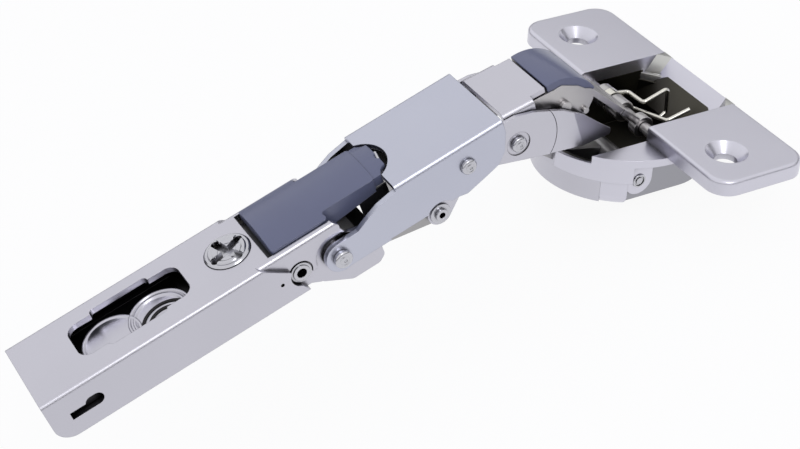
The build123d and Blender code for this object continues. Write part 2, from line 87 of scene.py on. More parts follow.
# turns of a round piece whose axis lies across the hinge, along it, or square to the flange
ACROSS = (math.pi / 2, 0, 0)
ALONG = (0, math.pi / 2, 0)
UPRIGHT = (0, 0, 0)
IN_CUP = (0, CUP_TILT, 0)
SIDES = (("near", -1), ("far", 1))

# colour sockets of a Mix node, which share their names with its number sockets
MIX_A, MIX_B, MIX_RESULT = 6, 7, 2
BUMP_MM = 0.02


class Slot(Enum):
    """Material slots of the record."""

    NICKEL = "nickel_plated_steel"
    WIRE = "spring_wire"
    MOULDING = "grey_moulding"


@dataclass(frozen=True)
class Coat:
    """A built finish and the slot that it stands for."""

    material: Material
    slot: Slot


def linear_from_hex(code: str) -> tuple[float, float, float, float]:
    """Turn an sRGB hex colour into linear values.

    Args:
        code: Colour such as "#BFC0C8".

    Returns:
        Red, green, blue and alpha, linear.
    """
    channels = []
    for start in (1, 3, 5):
        value = int(code[start : start + 2], 16) / 255
        channels.append(value / 12.92 if value <= 0.04045 else ((value + 0.055) / 1.055) ** 2.4)
    return (*channels, 1.0)


def add_node(
    tree: Tree,
    kind: str,
    settings: dict | None = None,
    values: dict | None = None,
    links: dict | None = None,
) -> bpy.types.Node:
    """Add a node with its settings, socket values and incoming links.

    Args:
        tree: Node tree that takes the node.
        kind: Node type, such as "ShaderNodeTexNoise".
        settings: Properties of the node.
        values: Default values by input name or number.
        links: Output sockets that feed inputs, by input name or number.

    Returns:
        The new node.
    """
    node = tree.nodes.new(kind)
    for name, value in (settings or {}).items():
        setattr(node, name, value)
    for name, value in (values or {}).items():
        node.inputs[name].default_value = value
    for name, socket in (links or {}).items():
        tree.links.new(socket, node.inputs[name])
    return node


def empty_material(name: str) -> tuple[Material, Tree]:
    """Make a node material with nothing in it.

    Args:
        name: Name of the finish.

    Returns:
        The material and its empty tree.
    """
    material = bpy.data.materials.new(name)
    material.use_nodes = True
    material.node_tree.nodes.clear()
    return material, material.node_tree


def shaded_in_gaps(
    tree: Tree, colour: Socket, deep: str, hollow_mm: float, gap_mm: float
) -> Socket:
    """Darken a colour in the piece's own hollows and where other pieces stand close.

    Args:
        tree: Node tree of the finish.
        colour: Colour of an open surface.
        deep: Painted shade at the bottom of a hollow, as hex.
        hollow_mm: How far away the piece's own walls still darken it.
        gap_mm: How far away another piece still darkens it.

    Returns:
        Colour socket.
    """
    # painted shade: ambient occlusion darkens the colour in the piece's hollows and in gaps to
    # others
    for reach, own_only, bright_at in ((hollow_mm, True, 0.85), (gap_mm, False, 0.75)):
        shade = add_node(
            tree, "ShaderNodeAmbientOcclusion", {"samples": 8, "only_local": own_only},
            {"Distance": reach * MM},
        )
        share = add_node(
            tree, "ShaderNodeMapRange", {"interpolation_type": "SMOOTHSTEP"},
            {"From Min": 0.2, "From Max": bright_at}, {"Value": shade.outputs["AO"]},
        )
        mix = add_node(
            tree, "ShaderNodeMix", {"data_type": "RGBA"}, {MIX_A: linear_from_hex(deep)},
            {"Factor": share.outputs["Result"], MIX_B: colour},
        )
        colour = mix.outputs[MIX_RESULT]
    return colour


def split_place(tree: Tree, place: Socket) -> tuple[Socket, Socket, Socket]:
    """Split a place into three distances.

    Args:
        tree: Node tree of the finish.
        place: Coordinates.

    Returns:
        How far along it is, how far off the middle plane, and how high.
    """
    axis = add_node(tree, "ShaderNodeSeparateXYZ", links={0: place}).outputs
    off = add_node(tree, "ShaderNodeMath", {"operation": "ABSOLUTE"}, links={0: axis["Y"]})
    return axis["X"], off.outputs[0], axis["Z"]


def where_all(tree: Tree, *tests: tuple[Socket, str, float]) -> Socket:
    """Give 1 where every test holds.

    Args:
        tree: Node tree of the finish.
        tests: Socket, comparison and limit in mm.

    Returns:
        Output socket, 0 or 1.
    """
    result = None
    for socket, kind, limit in tests:
        test = add_node(
            tree, "ShaderNodeMath", {"operation": kind}, {1: limit * MM}, {0: socket}
        ).outputs[0]
        if result is not None:
            test = add_node(
                tree, "ShaderNodeMath", {"operation": "MULTIPLY"}, links={0: result, 1: test}
            ).outputs[0]
        result = test
    return result


@dataclass(frozen=True)
class Finish:
    """A surface with slow clouds of tone, a fine grain and slightly rounded edges."""

    name: str
    colour: str
    shade: str
    deep: str
    roughness: float = 0.3
    roughness_spread: float = 0.0
    edge_mm: float = 0.16
    cloud_mm: float = 24.0
    hollow_mm: float = 14.0
    gap_mm: float = 1.6
    grain_mm: float = 0.22
    grain_depth: float = 0.04
    metallic: float = 0.0
    ior: float | None = None
    # detail and roughness of the two noises
    cloud_noise: tuple[float, float] = (3.0, 0.55)
    grain_noise: tuple[float, float] = (2.0, 0.6)
    slot: Slot = Slot.NICKEL

    def _inner_shares(self, tree: Tree, place: Socket) -> tuple[tuple[Socket, str], ...]:
        """Say where a part's inside gets painted shade: nowhere, on a plain part."""
        return ()

    def build(self) -> Coat:
        """Build the node material.

        Returns:
            The material and its slot.
        """
        material, tree = empty_material(self.name)
        place = add_node(tree, "ShaderNodeTexCoord").outputs["Object"]
        cloud, grain = (
            add_node(
                tree, "ShaderNodeTexNoise",
                values={"Scale": 1 / (size * MM), "Detail": detail, "Roughness": rough},
                links={"Vector": place},
            ).outputs["Fac"]
            for size, (detail, rough) in (
                (self.cloud_mm, self.cloud_noise), (self.grain_mm, self.grain_noise)
            )
        )
        tint = add_node(
            tree, "ShaderNodeMix", {"data_type": "RGBA"},
            {MIX_A: linear_from_hex(self.colour), MIX_B: linear_from_hex(self.shade)},
            {"Factor": cloud},
        )
        for share, code in self._inner_shares(tree, place):
            tint = add_node(
                tree, "ShaderNodeMix", {"data_type": "RGBA"}, {MIX_B: linear_from_hex(code)},
                {"Factor": share, MIX_A: tint.outputs[MIX_RESULT]},
            )
        edge = add_node(tree, "ShaderNodeBevel", {"samples": 6}, {"Radius": self.edge_mm * MM})
        bump = add_node(
            tree, "ShaderNodeBump",
            values={"Strength": self.grain_depth, "Distance": BUMP_MM * MM},
            links={"Height": grain, "Normal": edge.outputs["Normal"]},
        )
        shader = add_node(
            tree, "ShaderNodeBsdfPrincipled",
            values={"Metallic": self.metallic, "Roughness": self.roughness},
            links={
                # painted shade: the colour darkens in the piece's hollows and in gaps to other
                # pieces
                "Base Color": shaded_in_gaps(
                    tree, tint.outputs[MIX_RESULT], self.deep, self.hollow_mm, self.gap_mm
                ),
                "Normal": bump.outputs["Normal"],
            },
        )
        if self.ior:
            shader.inputs["IOR"].default_value = self.ior
        if self.roughness_spread:
            rough = add_node(
                tree, "ShaderNodeMapRange",
                values={
                    "From Min": 0.3, "From Max": 0.7,
                    "To Min": self.roughness - self.roughness_spread,
                    "To Max": self.roughness + self.roughness_spread,
                },
                links={"Value": cloud},
            )
            tree.links.new(rough.outputs["Result"], shader.inputs["Roughness"])
        add_node(tree, "ShaderNodeOutputMaterial", links={"Surface": shader.outputs[0]})
        return Coat(material, self.slot)


@dataclass(frozen=True)
class SatinPlate(Finish):
    """Nickel electroplate on pressed steel: a soft mirror that shows the studio as broad tones.

    The plate follows the rolled sheet, so it keeps a very fine grain, and its sheared edges are
    slightly rounded, which gives each edge a thin bright or dark line. Where parts lie close they
    shade and mirror each other, and that is painted into the colour, dark and a little warm.
    """

    name: str = "satin_nickel_plate"
    colour: str = "#C6C5CF"
    shade: str = "#C0BFC8"
    deep: str = "#2E2C29"
    roughness_spread: float = 0.02
    metallic: float = 1.0


@dataclass(frozen=True)
class ChannelPlate(SatinPlate):
    """The same plate on a folded channel, with painted shade on the channel's inside.

    The inner faces of a narrow channel are painted nearly black, for the shade that falls there.
    """

    name: str = "satin_nickel_on_channel"
    # painted shade: the channel's inner faces are drawn nearly black
    inside: str = "#2B2B2D"
    roof_mm: float = -0.02
    half_mm: float = 7.75
    nose_half_mm: float = 7.0
    nose_x_mm: float = 40.0
    blend_mm: float = 0.5

    def _inner_shares(self, tree: Tree, place: Socket) -> tuple[tuple[Socket, str], ...]:
        """Give the painted shade under the roof and between the walls.

        Args:
            tree: Node tree of the finish.
            place: Object coordinates.

        Returns:
            Where the inside is, and its colour as hex.
        """
        along, off, up = split_place(tree, place)
        half = add_node(
            tree, "ShaderNodeMapRange",
            values={
                "From Min": (self.nose_x_mm - self.blend_mm) * MM,
                "From Max": (self.nose_x_mm + self.blend_mm) * MM,
                "To Min": self.half_mm * MM, "To Max": self.nose_half_mm * MM,
            },
            links={"Value": along},
        )
        past = add_node(
            tree, "ShaderNodeMath", {"operation": "SUBTRACT"},
            links={0: off, 1: half.outputs["Result"]},
        )
        within = where_all(
            tree, (past.outputs[0], "LESS_THAN", 0), (up, "LESS_THAN", self.roof_mm)
        )
        return ((within, self.inside),)


@dataclass(frozen=True)
class CupPlate(SatinPlate):
    """The plate on the cup, painted lighter, with painted shade in the pocket and under the rim.
    """

    name: str = "satin_nickel_on_cup"
    # painted light: lighter than the plate elsewhere, for the brighter flange
    colour: str = "#D1D0DB"
    shade: str = "#CCCBD6"
    # painted shade: dark and warm in the pocket, a softer grey under the rim
    inside: str = "#4A4842"
    under_rim: str = "#9C9CA3"
    hollow_mm: float = 5.0
    gap_mm: float = 1.0
    pocket_mm: float = -2.7
    pocket_half_mm: float = 10.95
    pocket_shift_mm: float = 6.0
    pocket_radius_mm: float = 16.9
    side_half_mm: float = 12.6
    rim_foot_mm: float = -4.62
    side_front_mm: float = -13.4

    def _inner_shares(self, tree: Tree, place: Socket) -> tuple[tuple[Socket, str], ...]:
        """Give the painted shade under the rim and the darker painted shade inside the pocket.

        Args:
            tree: Node tree of the finish.
            place: Object coordinates.

        Returns:
            Where each of them is, and its colour as hex.
        """
        middle = cup_spot(0, 0, 0)
        cos, sin = math.cos(CUP_TILT), math.sin(CUP_TILT)
        levelled = add_node(
            tree, "ShaderNodeMapping", {"vector_type": "POINT"},
            {
                "Rotation": (0, -CUP_TILT, 0),
                "Location": (
                    -(middle.x * cos - middle.z * sin), 0, -(middle.x * sin + middle.z * cos),
                ),
            },
            {"Vector": place},
        )
        along, off, up = split_place(tree, levelled.outputs["Vector"])
        centred = add_node(
            tree, "ShaderNodeVectorMath", {"operation": "MULTIPLY_ADD"},
            {1: (1, 1, 0), 2: (self.pocket_shift_mm * MM, 0, 0)},
            {0: levelled.outputs["Vector"]},
        )
        reach = add_node(
            tree, "ShaderNodeVectorMath", {"operation": "LENGTH"}, links={0: centred.outputs[0]}
        ).outputs["Value"]
        in_pocket = where_all(
            tree, (up, "LESS_THAN", self.pocket_mm), (off, "LESS_THAN", self.pocket_half_mm),
            (reach, "LESS_THAN", self.pocket_radius_mm),
        )
        under = where_all(
            tree, (up, "LESS_THAN", self.rim_foot_mm), (off, "LESS_THAN", self.side_half_mm),
            (along, "GREATER_THAN", self.side_front_mm),
        )
        return ((under, self.under_rim), (in_pocket, self.inside))


@dataclass(frozen=True)
class SlateNylon(Finish):
    """Injection-moulded nylon in slate blue: an even colour with a soft, slightly waxy gloss."""

    name: str = "slate_blue_nylon"
    colour: str = "#666B83"
    shade: str = "#5F637B"
    deep: str = "#17171C"
    edge_mm: float = 0.25
    cloud_mm: float = 8.0
    hollow_mm: float = 3.0
    gap_mm: float = 1.2
    grain_mm: float = 0.3
    grain_depth: float = 0.06
    ior: float = 1.53
    cloud_noise: tuple[float, float] = (2.0, 0.5)
    grain_noise: tuple[float, float] = (2.0, 0.5)
    slot: Slot = Slot.MOULDING


@dataclass(frozen=True)
class Finishes:
    """Every finish of the hinge, built once."""

    plate: Coat
    arm: Coat
    lever: Coat
    pin: Coat
    inside: Coat
    shadowed: Coat
    cup: Coat
    neck: Coat
    corner: Coat
    wire: Coat
    nylon: Coat
    nylon_dark: Coat

    @classmethod
    def make(cls) -> "Finishes":
        """Build all finishes."""
        return cls(
            plate=SatinPlate().build(),
            arm=ChannelPlate().build(),
            # painted reflection: a darker, bluer copy of the plate for the sky that the wide lever
            # mirrors
            lever=ChannelPlate(
                "satin_nickel_on_lever", "#BFC1CF", "#B9BBC9",
                roof_mm=0.85, half_mm=8.35, nose_half_mm=8.35,
            ).build(),
            pin=SatinPlate(
                "bright_nickel_pin", "#C4C4CA", "#BCBCC3", "#2A2926", 0.2, 0.02, 0.12,
                hollow_mm=1.5,
            ).build(),
            # painted shade: a darker, slightly rougher copy of the plate for the parts inside the
            # levers
            inside=SatinPlate(
                "dull_nickel_inside_painted_shade", "#A9A8AA", "#9E9D9E", "#24231F", 0.34, 0.03
            ).build(),
            # painted shade: nearly black, for the inside of the arm, the carrier and the levers
            shadowed=SatinPlate(
                "nickel_in_channel_painted_shade", "#343335", "#2C2B2C", "#101010", 0.36, 0.03
            ).build(),
            cup=CupPlate().build(),
            neck=SatinPlate(
                "satin_nickel_on_neck", "#BDBBBD", "#B5B3B3", "#3A3833",
                hollow_mm=0.8, gap_mm=0.3,
            ).build(),
            corner=SatinPlate(
                "satin_nickel_in_pocket", "#C6C6C4", "#BDBDBA", "#6A6862",
                hollow_mm=0.4, gap_mm=0.12,
            ).build(),
            wire=SatinPlate(
                "drawn_spring_wire", "#DEDCD4", "#D2D0C8", "#6B6860", 0.22, 0.02, 0.05,
                hollow_mm=2.0, slot=Slot.WIRE,
            ).build(),
            nylon=SlateNylon().build(),
            # painted shade: nearly black nylon for the shaded gaps round the damper's housing
            nylon_dark=SlateNylon("nylon_painted_shade", "#1A1A1D", "#141416").build(),
        )


def dress(piece: Piece, coat: Coat) -> None:
    """Give a piece one finish.

    Args:
        piece: CAD node or new piece.
        coat: Finish of the whole piece.
    """
    piece.data.materials.clear()
    piece.data.materials.append(coat.material)


def spot(x: float, y: float, z: float) -> Vector:
    """Turn a place in mm from the arm's tail and top face into metres in the frame."""
    return Vector((x + TAIL_X, y, z + TOP_Z)) * MM


def cup_spot(u: float, v: float, n: float) -> Vector:
    """Turn a place in mm on the flange into metres in the frame.

    Args:
        u: Along the flange's plane, away from the arm.
        v: Across the hinge.
        n: Out of the flange's face.

    Returns:
        The place.
    """
    x = CUP_AT[0] + u * math.cos(CUP_TILT) + n * math.sin(CUP_TILT)
    z = CUP_AT[1] - u * math.sin(CUP_TILT) + n * math.cos(CUP_TILT)
    return spot(x, v, z)


def cup_way(u: float, v: float, n: float) -> Vector:
    """Turn a direction on the flange into a direction in the frame."""
    return (cup_spot(u, v, n) - cup_spot(0, 0, 0)).normalized()


def pick(first: Piece, *others: Piece) -> None:
    """Select a few pieces and nothing else.

    Args:
        first: Piece that becomes the active one.
        others: Further pieces.
    """
    bpy.ops.object.select_all(action="DESELECT")
    for piece in (first, *others):
        piece.select_set(True)
    bpy.context.view_layer.objects.active = first


@contextmanager
def editing(piece: Piece) -> Iterator[None]:
    """Open a piece's mesh for editing, and close it afterwards.

    Args:
        piece: Piece to edit.
    """
    pick(piece)
    bpy.ops.object.mode_set(mode="EDIT")
    yield
    bpy.ops.object.mode_set(mode="OBJECT")


def start_cylinder(
    name: str, at: Vector, radius_mm: float, length_mm: float, turn: tuple, sides: int
) -> Piece:
    """Add a cylinder to shape further.

    Args:
        name: Name of the piece.
        at: Centre in metres.
        radius_mm: Radius.
        length_mm: Length.
        turn: Euler angles of its axis, which is Z unturned.
        sides: Faces round it.

    Returns:
        The new object, with its place in its mesh.
    """
    bpy.ops.mesh.primitive_cylinder_add(
        vertices=sides, radius=radius_mm * MM, depth=length_mm * MM, location=at, rotation=turn
    )
    return settle(bpy.context.object, name)


def start_block(name: str, at: Vector, size_mm: tuple, turn: tuple = UPRIGHT) -> Piece:
    """Add a block to shape further.

    Args:
        name: Name of the piece.
        at: Centre in metres.
        size_mm: Length, width and height.
        turn: Euler angles.

    Returns:
        The new object, with its place in its mesh.
    """
    bpy.ops.mesh.primitive_cube_add(size=1, location=at, rotation=turn)
    block = bpy.context.object
    block.scale = Vector(size_mm) * MM
    return settle(block, name)


def settle(piece: Piece, name: str) -> Piece:
    """Name a piece and move its place, turn and scale into its mesh.

    Args:
        piece: New piece.
        name: Its name.

    Returns:
        The same piece.
    """
    piece.name = name
    pick(piece)
    bpy.ops.object.transform_apply(location=True, rotation=True, scale=True)
    return piece


def cut_away(piece: Piece, *planes: tuple[Vector, Vector]) -> Piece:
    """Cut a piece with planes and close it again.

    Args:
        piece: Piece to cut.
        planes: Point on each plane and the direction of what is taken off.

    Returns:
        The same piece.
    """
    for point, way in planes:
        with editing(piece):
            bpy.ops.mesh.select_all(action="SELECT")
            bpy.ops.mesh.bisect(plane_co=point, plane_no=way, use_fill=True, clear_outer=True)
    return piece


def select_faces(piece: Piece, *ways: Vector, least: float = 0.99) -> None:
    """Select the faces that look any of some ways, in object mode.

    Args:
        piece: Piece whose faces are chosen.
        ways: Directions that they look.
        least: Cosine that a face needs.
    """
    for item in (*piece.data.vertices, *piece.data.edges):
        item.select = False
    for face in piece.data.polygons:
        face.select = any(face.normal.dot(way) > least for way in ways)


def step_in(piece: Piece, way: Vector, steps: Steps) -> None:
    """Turn a flat end into steps.

    Args:
        piece: Piece with the flat end.
        way: Direction that the end looks.
        steps: How far in and how far out each step goes, in mm.
    """
    select_faces(piece, way)
    with editing(piece):
        bpy.ops.mesh.select_mode(type="FACE")
        for inwards, outwards in steps:
            bpy.ops.mesh.inset(thickness=inwards * MM, depth=outwards * MM, use_even_offset=True)


def merge(name: str, first: Piece, *others: Piece) -> Piece:
    """Join pieces into one object.

    Args:
        name: Name of the whole.
        first: Piece that stays.
        others: Pieces that go into it.

    Returns:
        The whole.
    """
    pick(first, *others)
    bpy.ops.object.join()
    first.name = name
    return first


def carve(piece: Piece, tool: Piece) -> None:
    """Take a closed tool out of a closed piece, and delete the tool.

    Args:
        piece: Piece that is cut.
        tool: Shape that is taken out.
    """
    cut = piece.modifiers.new("cut", "BOOLEAN")
    cut.operation = "DIFFERENCE"
    cut.solver = "EXACT"
    cut.object = tool
    pick(piece)
    bpy.ops.object.modifier_apply(modifier=cut.name)
    bpy.data.objects.remove(tool, do_unlink=True)


def shade(piece: Piece, angle: float) -> None:
    """Shade a piece smooth, apart from its sharp edges.

    Args:
        piece: Piece to shade.
        angle: Least angle of a sharp edge, in degrees.
    """
    pick(piece)
    bpy.ops.object.shade_smooth_by_angle(angle=math.radians(angle))


def soften(piece: Piece, width_mm: float, angle: float = 35.0) -> None:
    """Round a piece's edges and shade it smooth.

    Args:
        piece: Piece to finish.
        width_mm: Width of the rounding.
        angle: Least angle of an edge that is rounded, in degrees.
    """
    bevel = piece.modifiers.new("edges", "BEVEL")
    bevel.width = width_mm * MM
    bevel.segments = 3
    bevel.limit_method = "ANGLE"
    bevel.angle_limit = math.radians(angle)
    pick(piece)
    bpy.ops.object.modifier_apply(modifier=bevel.name)
    shade(piece, angle)


def seat(piece: Piece, body: str, coat: Coat) -> None:
    """Dress a finished piece and let it ride on a body.

    Args:
        piece: Finished piece.
        body: Body of the record that carries it.
        coat: Its finish.
    """
    dress(piece, coat)
    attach(piece, body)
    LOG.info("%s rides on %s, %d faces", piece.name, body, len(piece.data.polygons))


@dataclass
class Fitting:
    """Something dressed or made for the hinge, with its finishes and the frame's nodes."""

    finishes: Finishes
    nodes: dict[str, Piece]


@dataclass
class CarriedParts(Fitting):
    """Parts taken over from the frame as they are, by the finish that each gets."""

    parts: tuple[tuple[str, tuple[str, ...]], ...] = (
        ("plate", (
            "link_plate_near", "link_plate_far", "front_shell",
            "side_plate_near", "side_plate_far", "front_lever",
        )),
        ("inside", ("inner_lever", "inner_cup_link")),
        ("arm", ("hinge_arm",)),
        ("lever", ("outer_lever",)),
        ("neck", ("rear_cup_pin", "lever_rivets")),
        ("shadowed", ("catch_carrier",)),
        ("cup", ("hinge_cup",)),
        ("pin", (
            "arm_rivet", "arm_pins", "pivot_washers", "link_rivet", "lever_pin", "front_pins",
            "front_cup_pin", "cam_screw", "damper_cylinder",
        )),
        ("nylon", ("damper_housing", "damper_plunger", "front_cap")),
        ("wire", ("closing_spring",)),
    )

    def build(self) -> None:
        """Dress every part."""
        for finish, names in self.parts:
            for name in names:
                dress(self.nodes[name], getattr(self.finishes, finish))
            LOG.info("dressed %s: %s", finish, ", ".join(names))


@dataclass
class PinHeads(Fitting):
    """Riveted heads on the cross pins: a stepped dome with a small dimple beside its middle."""

    # name, centre, radius, how far from the middle plane, and body
    heads: tuple[tuple[str, tuple[float, float], float, float, str], ...] = (
        ("arm_pin_head", ARM_PIN, 1.7, 10.22, "arm"),
        ("lever_pin_head", LEVER_PIN, 1.5, 9.87, "outer_lever"),
        ("front_pin_head", FRONT_PIN, 1.5, 8.5, "front_lever"),
    )
    thickness: float = 0.2
    rise: float = 0.32
    # steps inwards from the rim, in radii and rises
    steps: Steps = (
        (0.10, 0.5), (0.14, 0.4), (0.16, 0.0), (0.05, -0.25), (0.08, 0.0), (0.05, 0.25),
    )
    middle_reach: float = 0.2
    dimple_inset: float = 0.22
    dimple_edge: float = 0.04
    dimple_shift: tuple[float, float] = (0.088, -0.132)
    dimple_depth: float = 0.16

    def build(self) -> None:
        """Make the six heads."""
        for name, point, radius, face, body in self.heads:
            for word, side in SIDES:
                head = self._head(f"{name}_{word}", point, radius, side * face, side)
                seat(head, body, self.finishes.pin)

    def _head(
        self, name: str, point: tuple[float, float], radius: float, face: float, side: int
    ) -> Piece:
        """Shape one head.

        Args:
            name: Name of the head.
            point: Its centre, (x, z).
            radius: Its radius.
            face: Place across the hinge of the surface that it sits on.
            side: Which way it looks across the hinge.

        Returns:
            The head.
        """
        middle = spot(point[0], face, point[1])
        head = start_cylinder(name, middle, radius, self.thickness, ACROSS, 48)
        way = Vector((0, side, 0))
        step_in(head, way, tuple((part * radius, up * self.rise) for part, up in self.steps))
        select_faces(head, way, least=0.999)
        for polygon in head.data.polygons:
            reach = (polygon.center - middle).cross(way).length
            central = reach < self.middle_reach * radius * MM and len(polygon.vertices) > 6
            polygon.select = polygon.select and central
        shift_x, shift_z = (part * radius * MM for part in self.dimple_shift)
        with editing(head):
            bpy.ops.mesh.inset(thickness=self.dimple_inset * radius * MM, depth=0)
            bpy.ops.transform.translate(value=(shift_x, 0, shift_z))
            bpy.ops.mesh.inset(
                thickness=self.dimple_edge * radius * MM, depth=-self.dimple_depth * MM
            )
        soften(head, 0.04, angle=50)
        return head


@dataclass
class ScrewPetals(Fitting):
    """Four raised petals on the depth screw's head, between the arms of its cross slot."""

    reach: float = 3.55
    hub: float = 1.65
    floor: float = 0.35
    sheet: float = 0.1
    steps: Steps = ((0.25, 0.3), (0.45, 0.0), (0.35, -0.24), (1.0, 0.0))
    slot_turn: float = 20.0
    half_slot: float = 0.78

    def build(self) -> None:
        """Make one petal, copy it three times round the head and join them."""
        centre = spot(SCREW_X, 0, self.floor)
        first = self._petal(centre)
        petals = [first]
        for quarter in (1, 2, 3):
            petal = first.copy()
            petal.data = first.data.copy()
            bpy.context.scene.collection.objects.link(petal)
            turn = Matrix.Rotation(math.radians(90 * quarter), 4, "Z")
            petal.data.transform(Matrix.Translation(centre) @ turn @ Matrix.Translation(-centre))
            petals.append(petal)
        whole = merge("depth_screw_petals", *petals)
        soften(whole, 0.07, angle=30)
        seat(whole, "depth_screw", self.finishes.pin)

    def _petal(self, centre: Vector) -> Piece:
        """Shape one petal: a quarter of a dished disc, cut back along both slots.

        Args:
            centre: Middle of the screw's head.

        Returns:
            The petal.
        """
        disc = start_cylinder("petal", centre, self.reach, self.sheet, UPRIGHT, 96)
        step_in(disc, Vector((0, 0, 1)), self.steps)
        cuts = []
        for turn, side in ((self.slot_turn, -1), (self.slot_turn + 90, 1)):
            along = Vector((math.cos(math.radians(turn)), math.sin(math.radians(turn)), 0))
            across = Vector((-along.y, along.x, 0)) * side
            cuts.append((centre - across * self.half_slot * MM, across))
        bisector = math.radians(self.slot_turn + 45)
        out = Vector((math.cos(bisector), math.sin(bisector), 0))
        cuts.append((centre + out * self.hub * MM, -out))
        return cut_away(disc, *cuts)


@dataclass
class DamperTongue(Fitting):
    """Arched front tongue of the damper's housing."""

    middle_x: float = 69.1
    length: float = 4.6
    half: float = 4.9
    foot: float = -0.9
    arch_radius: float = 18.4
    crown: float = 1.62
    # (x, y, radius) of the scooped corners and of the notch in the front edge
    scoops: tuple[tuple[float, float, float], ...] = (
        (71.6, 5.3, 1.9), (71.9, -0.9, 1.0), (71.6, -5.3, 1.9),
    )
    scoop_length: float = 9.0

    def build(self) -> None:
        """Cut the arched tongue with its scooped corners out of a long round bar."""
        middle = spot(self.middle_x, 0, self.crown - self.arch_radius)
        tongue = start_cylinder(
            "damper_tongue", middle, self.arch_radius, self.length, ALONG, 256
        )
        cut_away(
            tongue,
            (spot(0, 0, self.foot), Vector((0, 0, -1))),
            (spot(0, self.half, 0), Vector((0, 1, 0))),
            (spot(0, -self.half, 0), Vector((0, -1, 0))),
        )
        for x, y, radius in self.scoops:
            at, length = spot(x, y, 0), self.scoop_length
            carve(tongue, start_cylinder("scoop", at, radius, length, UPRIGHT, 48))
        soften(tongue, 0.18, angle=40)
        seat(tongue, "arm", self.finishes.nylon)


@dataclass
class FrontCap(Fitting):
    """Moulded cap over the goose-neck: a smooth saddle with turned-down sides."""

    centre: tuple[float, float] = (103.9, -9.9)
    radius: float = 8.95
    width: float = 12.0
    # (x, z) on each end face of the saddle, and the way that it looks
    ends: tuple[tuple[tuple[float, float], tuple[float, float]], ...] = (
        ((103.45, 0), (-1, 0)), ((112.3, -7.3), (0.35, -1)), ((103.4, -2.5), (-0.54, -0.84)),
    )

    def build(self) -> None:
        """Shape the cap and let it stand for the plain one."""
        middle = spot(self.centre[0], 0, self.centre[1])
        cap = start_cylinder("neck_cap", middle, self.radius, self.width, ACROSS, 192)
        cut_away(cap, *(
            (spot(x, 0, z), Vector((way_x, 0, way_z)).normalized())
            for (x, z), (way_x, way_z) in self.ends
        ))
        soften(cap, 0.45, angle=50)
        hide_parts("front_cap")
        seat(cap, "front_lever", self.finishes.nylon)


@dataclass
class GooseNeck(Fitting):
    """Front lever with its web running straight into the two knuckles on the rear cup pin."""

    bend: tuple[float, float] = (111.3, -7.2)
    way: tuple[float, float] = (0.508, -0.861)
    sheet: float = 1.35
    half: float = 6.25
    cut_at: float = 10.3
    web_end: float = 13.7
    tab_end: float = 15.1
    knuckle_radius: float = 2.1
    bore_radius: float = 1.16
    knuckles: Steps = ((-6.25, -4.1), (-0.1, 3.4))
    lap: float = 0.3
    weld: float = 0.001

    def build(self) -> None:
        """Cut the web of a copy, run it on straight and roll the knuckles."""
        lever = self.nodes["front_lever"].copy()
        lever.data = self.nodes["front_lever"].data.copy()
        bpy.context.scene.collection.objects.link(lever)
        for key in [key for key in lever.keys() if key.startswith("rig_")]:
            del lever[key]
        settle(lever, "goose_neck_lever")
        with editing(lever):
            bpy.ops.mesh.select_all(action="SELECT")
            bpy.ops.mesh.remove_doubles(threshold=self.weld * MM)
        cut_away(lever, (self._along(self.cut_at, 0), Vector((self.way[0], 0, self.way[1]))))
        parts = [self._strip(self.cut_at - self.lap, self.web_end, -self.half, self.half)]
        for low, high in self.knuckles:
            parts.append(self._strip(self.web_end - self.lap, self.tab_end, low, high))
            parts.append(self._knuckle(low, high))
        end = merge("neck_end", *parts)
        soften(end, 0.12, angle=40)
        whole = merge("goose_neck_lever", lever, end)
        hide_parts("front_lever")
        seat(whole, "front_lever", self.finishes.neck)

    def _along(self, distance: float, y: float) -> Vector:
        """Give a place on the middle of the web.

        Args:
            distance: How far from the web's bend.
            y: Place across the hinge.

        Returns:
            The place in metres.
        """
        x = self.bend[0] + self.way[0] * distance
        return spot(x, y, self.bend[1] + self.way[1] * distance)

    def _strip(self, start: float, end: float, low: float, high: float) -> Piece:
        """Make a flat stretch of the web.

        Args:
            start: Where it starts, from the web's bend.
            end: Where it ends.
            low: Its near edge across the hinge.
            high: Its far edge.

        Returns:
            The stretch.
        """
        turn = (0, math.acos(self.way[0]), 0)
        size = (end - start, high - low, self.sheet)
        return start_block("web", self._along((start + end) / 2, (low + high) / 2), size, turn)

    def _knuckle(self, low: float, high: float) -> Piece:
        """Roll one knuckle: a ring round the pin.

        Args:
            low: Its near end across the hinge.
            high: Its far end.

        Returns:
            The ring.
        """
        middle = spot(KNUCKLE[0], (low + high) / 2, KNUCKLE[1])
        ring = start_cylinder("knuckle", middle, self.knuckle_radius, high - low, ACROSS, 48)
        select_faces(ring, Vector((0, 1, 0)), Vector((0, -1, 0)))
        with editing(ring):
            bpy.ops.mesh.select_mode(type="FACE")
            bpy.ops.mesh.inset(thickness=(self.knuckle_radius - self.bore_radius) * MM, depth=0)
            bpy.ops.mesh.bridge_edge_loops()
        return ring


